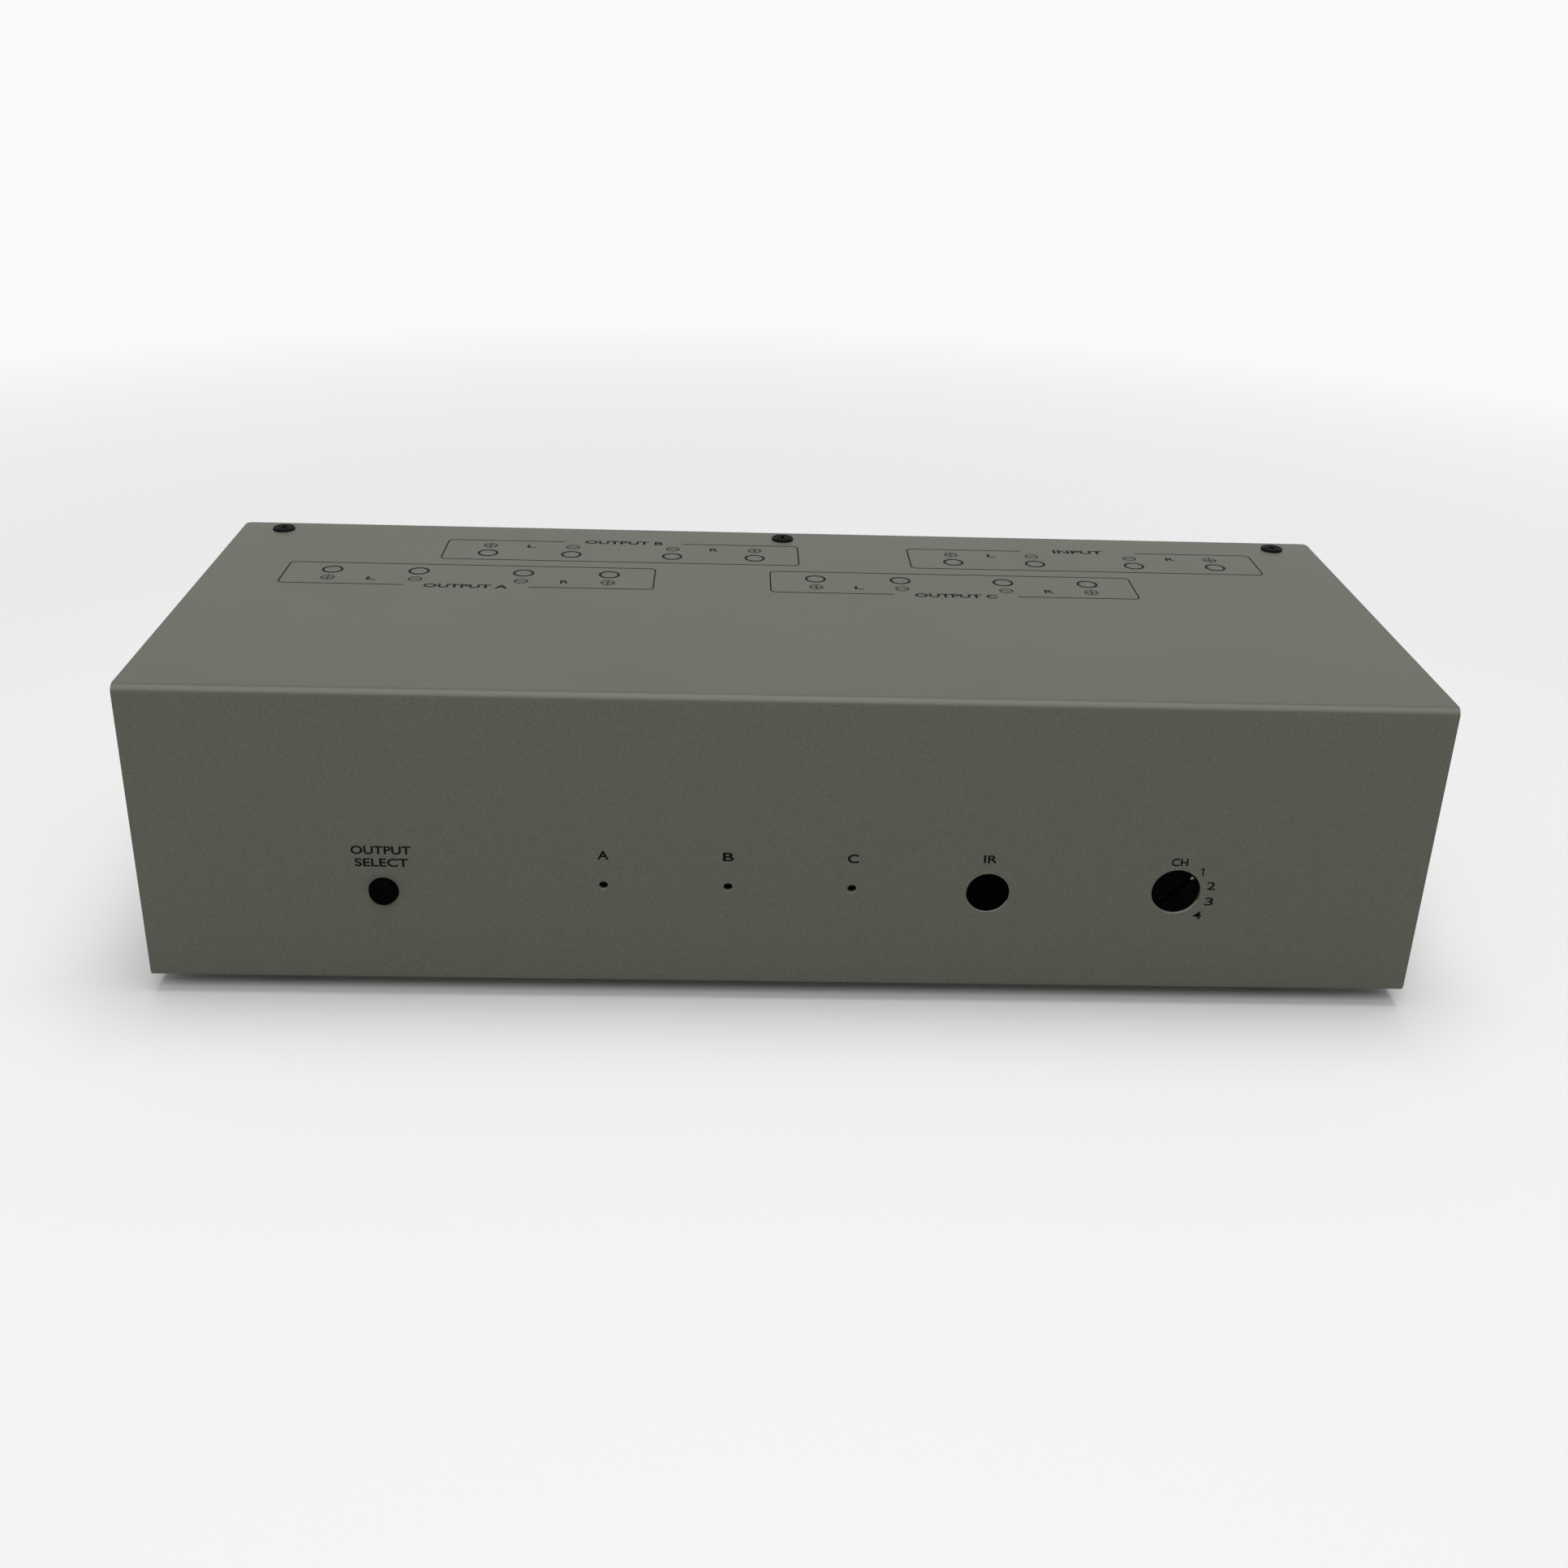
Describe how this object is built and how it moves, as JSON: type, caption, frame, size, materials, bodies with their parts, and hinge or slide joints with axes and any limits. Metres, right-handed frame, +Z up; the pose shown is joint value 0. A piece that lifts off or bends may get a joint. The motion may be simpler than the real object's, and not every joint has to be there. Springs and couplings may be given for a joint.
{
  "type": "speaker selector switch",
  "caption": "Low steel case with a push button, lamps, infrared window and slotted dial in front, printed connection maps on top and screw-cap binding posts behind.",
  "frame": {"origin": "middle of the whole part's footprint, on the surface that the feet stand on", "axes": "+X to the right seen from the front, +Y to the rear, +Z up"},
  "size_m": [0.28, 0.1358, 0.0742],
  "materials": {
    "front_top_cover": "fine matt texture paint, warm grey",
    "base_tray": "fine matt texture paint, warm grey",
    "rear_panel": "fine matt texture paint, warm grey",
    "pan_head_screws": "black oxide",
    "rubber_feet": "matt black rubber",
    "control_bracket": "zinc-plated",
    "control_board": "green glass-epoxy board",
    "status_leds": "smoked lamp body, off",
    "receiver_window": "dark tinted, polished",
    "infrared_receiver": "black moulded",
    "select_button": "black, satin",
    "switch_plunger": "black",
    "button_switch": "black",
    "channel_rotor": "black",
    "rotary_switch": "black",
    "main_board": "green glass-epoxy board",
    "board_pillars": "zinc-plated",
    "transformer_core": "varnished laminations",
    "transformer_coil": "taped winding",
    "capacitors": "sleeved cans",
    "relay_board": "green glass-epoxy board",
    "relays": "blue-black cases",
    "mains_leads": "insulated wire",
    "control_ribbon": "grey ribbon",
    "mains_inlet": "black",
    "post_studs": "gold-plated",
    "post_insulators": "black",
    "post_nuts": "nickel-plated",
    "cap_red": "red, satin",
    "cap_black": "black, satin",
    "washer": "gold-plated"
  },
  "bodies": {
    "case": {"front_top_cover": "front_top_cover", "base_tray": "base_tray", "rear_panel": "rear_panel", "pan_head_screws": "pan_head_screws", "rubber_feet": "rubber_feet", "control_bracket": "control_bracket", "control_board": "control_board", "status_leds": "status_leds", "receiver_window": "receiver_window", "infrared_receiver": "infrared_receiver", "button_switch": "button_switch", "rotary_switch": "rotary_switch", "main_board": "main_board", "board_pillars": "board_pillars", "transformer_core": "transformer_core", "transformer_coil": "transformer_coil", "capacitors": "capacitors", "relay_board": "relay_board", "relays": "relays", "mains_leads": "mains_leads", "control_ribbon": "control_ribbon", "mains_inlet": "mains_inlet", "post_studs": "post_studs", "post_insulators": "post_insulators", "post_nuts": "post_nuts"},
    "button": {"select_button": "select_button", "switch_plunger": "switch_plunger"},
    "dial": {"channel_rotor": "channel_rotor"},
    "washer_a_left_plus": {"washer_a_left_plus": "washer"},
    "cap_a_left_plus": {"cap_a_left_plus": "cap_red"},
    "washer_a_left_minus": {"washer_a_left_minus": "washer"},
    "cap_a_left_minus": {"cap_a_left_minus": "cap_black"},
    "washer_a_right_minus": {"washer_a_right_minus": "washer"},
    "cap_a_right_minus": {"cap_a_right_minus": "cap_black"},
    "washer_a_right_plus": {"washer_a_right_plus": "washer"},
    "cap_a_right_plus": {"cap_a_right_plus": "cap_red"},
    "washer_b_left_plus": {"washer_b_left_plus": "washer"},
    "cap_b_left_plus": {"cap_b_left_plus": "cap_red"},
    "washer_b_left_minus": {"washer_b_left_minus": "washer"},
    "cap_b_left_minus": {"cap_b_left_minus": "cap_black"},
    "washer_b_right_minus": {"washer_b_right_minus": "washer"},
    "cap_b_right_minus": {"cap_b_right_minus": "cap_black"},
    "washer_b_right_plus": {"washer_b_right_plus": "washer"},
    "cap_b_right_plus": {"cap_b_right_plus": "cap_red"},
    "washer_c_left_plus": {"washer_c_left_plus": "washer"},
    "cap_c_left_plus": {"cap_c_left_plus": "cap_red"},
    "washer_c_left_minus": {"washer_c_left_minus": "washer"},
    "cap_c_left_minus": {"cap_c_left_minus": "cap_black"},
    "washer_c_right_minus": {"washer_c_right_minus": "washer"},
    "cap_c_right_minus": {"cap_c_right_minus": "cap_black"},
    "washer_c_right_plus": {"washer_c_right_plus": "washer"},
    "cap_c_right_plus": {"cap_c_right_plus": "cap_red"},
    "washer_input_left_plus": {"washer_input_left_plus": "washer"},
    "cap_input_left_plus": {"cap_input_left_plus": "cap_red"},
    "washer_input_left_minus": {"washer_input_left_minus": "washer"},
    "cap_input_left_minus": {"cap_input_left_minus": "cap_black"},
    "washer_input_right_minus": {"washer_input_right_minus": "washer"},
    "cap_input_right_minus": {"cap_input_right_minus": "cap_black"},
    "washer_input_right_plus": {"washer_input_right_plus": "washer"},
    "cap_input_right_plus": {"cap_input_right_plus": "cap_red"}
  },
  "joints": [
    {"name": "button_press", "type": "slide", "parent": "case", "child": "button", "axis": [0, 1, 0], "range_m": [0, 0.0005], "stiffness_N_per_m": 2000},
    {"name": "dial_turn", "type": "hinge", "parent": "case", "child": "dial", "pos_m": [0.0852, -0.0657, 0.029], "axis": [0, 1, 0], "range_deg": [0, 90]},
    {"name": "washer_slide_a_left_plus", "type": "slide", "parent": "case", "child": "washer_a_left_plus", "axis": [0, 1, 0], "range_m": [0, 0.005]},
    {"name": "cap_turn_a_left_plus", "type": "hinge", "parent": "washer_a_left_plus", "child": "cap_a_left_plus", "pos_m": [-0.1103, 0.0534, 0.052], "axis": [0, 1, 0], "range_deg": [0, 1800]},
    {"name": "washer_slide_a_left_minus", "type": "slide", "parent": "case", "child": "washer_a_left_minus", "axis": [0, 1, 0], "range_m": [0, 0.005]},
    {"name": "cap_turn_a_left_minus", "type": "hinge", "parent": "washer_a_left_minus", "child": "cap_a_left_minus", "pos_m": [-0.0894, 0.0534, 0.052], "axis": [0, 1, 0], "range_deg": [0, 1800]},
    {"name": "washer_slide_a_right_minus", "type": "slide", "parent": "case", "child": "washer_a_right_minus", "axis": [0, 1, 0], "range_m": [0, 0.005]},
    {"name": "cap_turn_a_right_minus", "type": "hinge", "parent": "washer_a_right_minus", "child": "cap_a_right_minus", "pos_m": [-0.064, 0.0534, 0.052], "axis": [0, 1, 0], "range_deg": [0, 1800]},
    {"name": "washer_slide_a_right_plus", "type": "slide", "parent": "case", "child": "washer_a_right_plus", "axis": [0, 1, 0], "range_m": [0, 0.005]},
    {"name": "cap_turn_a_right_plus", "type": "hinge", "parent": "washer_a_right_plus", "child": "cap_a_right_plus", "pos_m": [-0.0431, 0.0534, 0.052], "axis": [0, 1, 0], "range_deg": [0, 1800]},
    {"name": "washer_slide_b_left_plus", "type": "slide", "parent": "case", "child": "washer_b_left_plus", "axis": [0, 1, 0], "range_m": [0, 0.005]},
    {"name": "cap_turn_b_left_plus", "type": "hinge", "parent": "washer_b_left_plus", "child": "cap_b_left_plus", "pos_m": [-0.0746, 0.0534, 0.026], "axis": [0, 1, 0], "range_deg": [0, 1800]},
    {"name": "washer_slide_b_left_minus", "type": "slide", "parent": "case", "child": "washer_b_left_minus", "axis": [0, 1, 0], "range_m": [0, 0.005]},
    {"name": "cap_turn_b_left_minus", "type": "hinge", "parent": "washer_b_left_minus", "child": "cap_b_left_minus", "pos_m": [-0.0537, 0.0534, 0.026], "axis": [0, 1, 0], "range_deg": [0, 1800]},
    {"name": "washer_slide_b_right_minus", "type": "slide", "parent": "case", "child": "washer_b_right_minus", "axis": [0, 1, 0], "range_m": [0, 0.005]},
    {"name": "cap_turn_b_right_minus", "type": "hinge", "parent": "washer_b_right_minus", "child": "cap_b_right_minus", "pos_m": [-0.0283, 0.0534, 0.026], "axis": [0, 1, 0], "range_deg": [0, 1800]},
    {"name": "washer_slide_b_right_plus", "type": "slide", "parent": "case", "child": "washer_b_right_plus", "axis": [0, 1, 0], "range_m": [0, 0.005]},
    {"name": "cap_turn_b_right_plus", "type": "hinge", "parent": "washer_b_right_plus", "child": "cap_b_right_plus", "pos_m": [-0.0074, 0.0534, 0.026], "axis": [0, 1, 0], "range_deg": [0, 1800]},
    {"name": "washer_slide_c_left_plus", "type": "slide", "parent": "case", "child": "washer_c_left_plus", "axis": [0, 1, 0], "range_m": [0, 0.005]},
    {"name": "cap_turn_c_left_plus", "type": "hinge", "parent": "washer_c_left_plus", "child": "cap_c_left_plus", "pos_m": [0.0074, 0.0534, 0.052], "axis": [0, 1, 0], "range_deg": [0, 1800]},
    {"name": "washer_slide_c_left_minus", "type": "slide", "parent": "case", "child": "washer_c_left_minus", "axis": [0, 1, 0], "range_m": [0, 0.005]},
    {"name": "cap_turn_c_left_minus", "type": "hinge", "parent": "washer_c_left_minus", "child": "cap_c_left_minus", "pos_m": [0.0283, 0.0534, 0.052], "axis": [0, 1, 0], "range_deg": [0, 1800]},
    {"name": "washer_slide_c_right_minus", "type": "slide", "parent": "case", "child": "washer_c_right_minus", "axis": [0, 1, 0], "range_m": [0, 0.005]},
    {"name": "cap_turn_c_right_minus", "type": "hinge", "parent": "washer_c_right_minus", "child": "cap_c_right_minus", "pos_m": [0.0537, 0.0534, 0.052], "axis": [0, 1, 0], "range_deg": [0, 1800]},
    {"name": "washer_slide_c_right_plus", "type": "slide", "parent": "case", "child": "washer_c_right_plus", "axis": [0, 1, 0], "range_m": [0, 0.005]},
    {"name": "cap_turn_c_right_plus", "type": "hinge", "parent": "washer_c_right_plus", "child": "cap_c_right_plus", "pos_m": [0.0746, 0.0534, 0.052], "axis": [0, 1, 0], "range_deg": [0, 1800]},
    {"name": "washer_slide_input_left_plus", "type": "slide", "parent": "case", "child": "washer_input_left_plus", "axis": [0, 1, 0], "range_m": [0, 0.005]},
    {"name": "cap_turn_input_left_plus", "type": "hinge", "parent": "washer_input_left_plus", "child": "cap_input_left_plus", "pos_m": [0.0431, 0.0534, 0.026], "axis": [0, 1, 0], "range_deg": [0, 1800]},
    {"name": "washer_slide_input_left_minus", "type": "slide", "parent": "case", "child": "washer_input_left_minus", "axis": [0, 1, 0], "range_m": [0, 0.005]},
    {"name": "cap_turn_input_left_minus", "type": "hinge", "parent": "washer_input_left_minus", "child": "cap_input_left_minus", "pos_m": [0.064, 0.0534, 0.026], "axis": [0, 1, 0], "range_deg": [0, 1800]},
    {"name": "washer_slide_input_right_minus", "type": "slide", "parent": "case", "child": "washer_input_right_minus", "axis": [0, 1, 0], "range_m": [0, 0.005]},
    {"name": "cap_turn_input_right_minus", "type": "hinge", "parent": "washer_input_right_minus", "child": "cap_input_right_minus", "pos_m": [0.0894, 0.0534, 0.026], "axis": [0, 1, 0], "range_deg": [0, 1800]},
    {"name": "washer_slide_input_right_plus", "type": "slide", "parent": "case", "child": "washer_input_right_plus", "axis": [0, 1, 0], "range_m": [0, 0.005]},
    {"name": "cap_turn_input_right_plus", "type": "hinge", "parent": "washer_input_right_plus", "child": "cap_input_right_plus", "pos_m": [0.1103, 0.0534, 0.026], "axis": [0, 1, 0], "range_deg": [0, 1800]}
  ],
  "couplings": [
    {"joint": "cap_turn_a_left_plus", "follows": "washer_slide_a_left_plus", "rad_per_m": 6283.2},
    {"joint": "cap_turn_a_left_minus", "follows": "washer_slide_a_left_minus", "rad_per_m": 6283.2},
    {"joint": "cap_turn_a_right_minus", "follows": "washer_slide_a_right_minus", "rad_per_m": 6283.2},
    {"joint": "cap_turn_a_right_plus", "follows": "washer_slide_a_right_plus", "rad_per_m": 6283.2},
    {"joint": "cap_turn_b_left_plus", "follows": "washer_slide_b_left_plus", "rad_per_m": 6283.2},
    {"joint": "cap_turn_b_left_minus", "follows": "washer_slide_b_left_minus", "rad_per_m": 6283.2},
    {"joint": "cap_turn_b_right_minus", "follows": "washer_slide_b_right_minus", "rad_per_m": 6283.2},
    {"joint": "cap_turn_b_right_plus", "follows": "washer_slide_b_right_plus", "rad_per_m": 6283.2},
    {"joint": "cap_turn_c_left_plus", "follows": "washer_slide_c_left_plus", "rad_per_m": 6283.2},
    {"joint": "cap_turn_c_left_minus", "follows": "washer_slide_c_left_minus", "rad_per_m": 6283.2},
    {"joint": "cap_turn_c_right_minus", "follows": "washer_slide_c_right_minus", "rad_per_m": 6283.2},
    {"joint": "cap_turn_c_right_plus", "follows": "washer_slide_c_right_plus", "rad_per_m": 6283.2},
    {"joint": "cap_turn_input_left_plus", "follows": "washer_slide_input_left_plus", "rad_per_m": 6283.2},
    {"joint": "cap_turn_input_left_minus", "follows": "washer_slide_input_left_minus", "rad_per_m": 6283.2},
    {"joint": "cap_turn_input_right_minus", "follows": "washer_slide_input_right_minus", "rad_per_m": 6283.2},
    {"joint": "cap_turn_input_right_plus", "follows": "washer_slide_input_right_plus", "rad_per_m": 6283.2}
  ]
}
